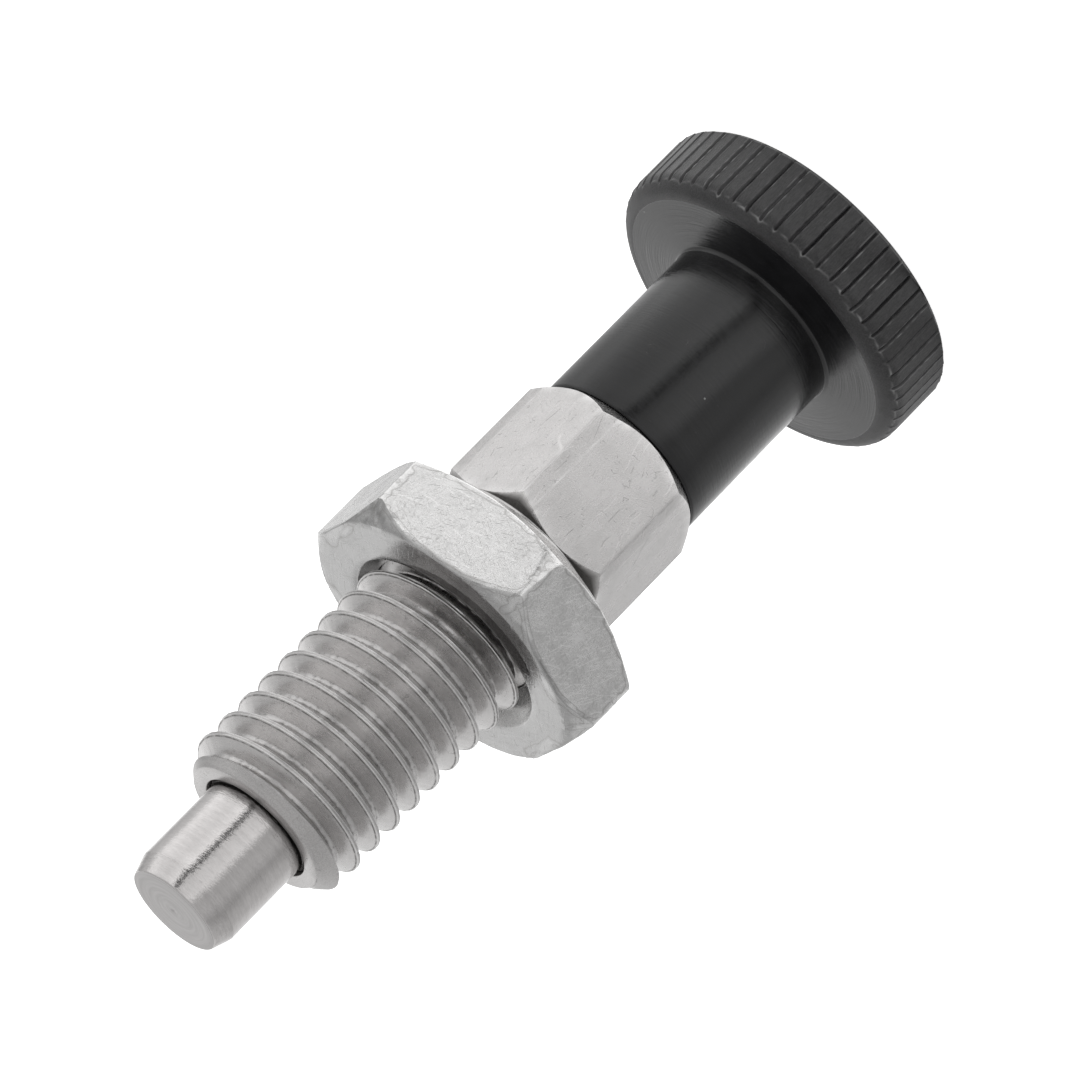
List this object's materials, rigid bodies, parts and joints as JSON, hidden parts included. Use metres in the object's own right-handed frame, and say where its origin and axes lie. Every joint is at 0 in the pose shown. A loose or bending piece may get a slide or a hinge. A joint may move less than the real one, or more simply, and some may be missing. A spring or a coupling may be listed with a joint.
{
  "type": "indexing plunger",
  "caption": "Indexing plunger: sprung locking pin in a threaded steel body with a hexagonal collar, a lock nut and a black knurled pull knob",
  "frame": {"origin": "on the axis at the seat, where the threaded shank meets the hexagonal collar", "axes": "+Z runs along the axis towards the pin's tip; +X passes through an edge of the hexagonal collar"},
  "size_m": [0.0184, 0.0184, 0.0491],
  "materials": {
    "turned_steel": "turned stainless steel, satin",
    "ground_steel": "ground and polished stainless steel, fine marks round the pin",
    "spring_wire": "drawn spring wire",
    "black_knob": "turned, knurled and anodised black",
    "nut_steel": "tumbled stainless steel, worn edges"
  },
  "bodies": {
    "housing": {"threaded_body": "turned_steel"},
    "nut": {"lock_nut": "nut_steel"},
    "spring": {"return_spring": "spring_wire"},
    "plunger": {"indexing_pin": "ground_steel", "pull_knob": "black_knob"}
  },
  "joints": [
    {"name": "pin_pull", "type": "slide", "parent": "housing", "child": "spring", "axis": [0, 0, -1], "range_m": [0, 0.006], "stiffness_N_per_m": 1500, "springref_m": -0.0045, "deforming": ["return_spring"]},
    {"name": "pin_turn", "type": "hinge", "parent": "spring", "child": "plunger", "pos_m": [0, 0, 0], "axis": [0, 0, 1], "continuous": true},
    {"name": "nut_travel", "type": "slide", "parent": "housing", "child": "nut", "axis": [0, 0, 1], "range_m": [0, 0.0135]}
  ]
}
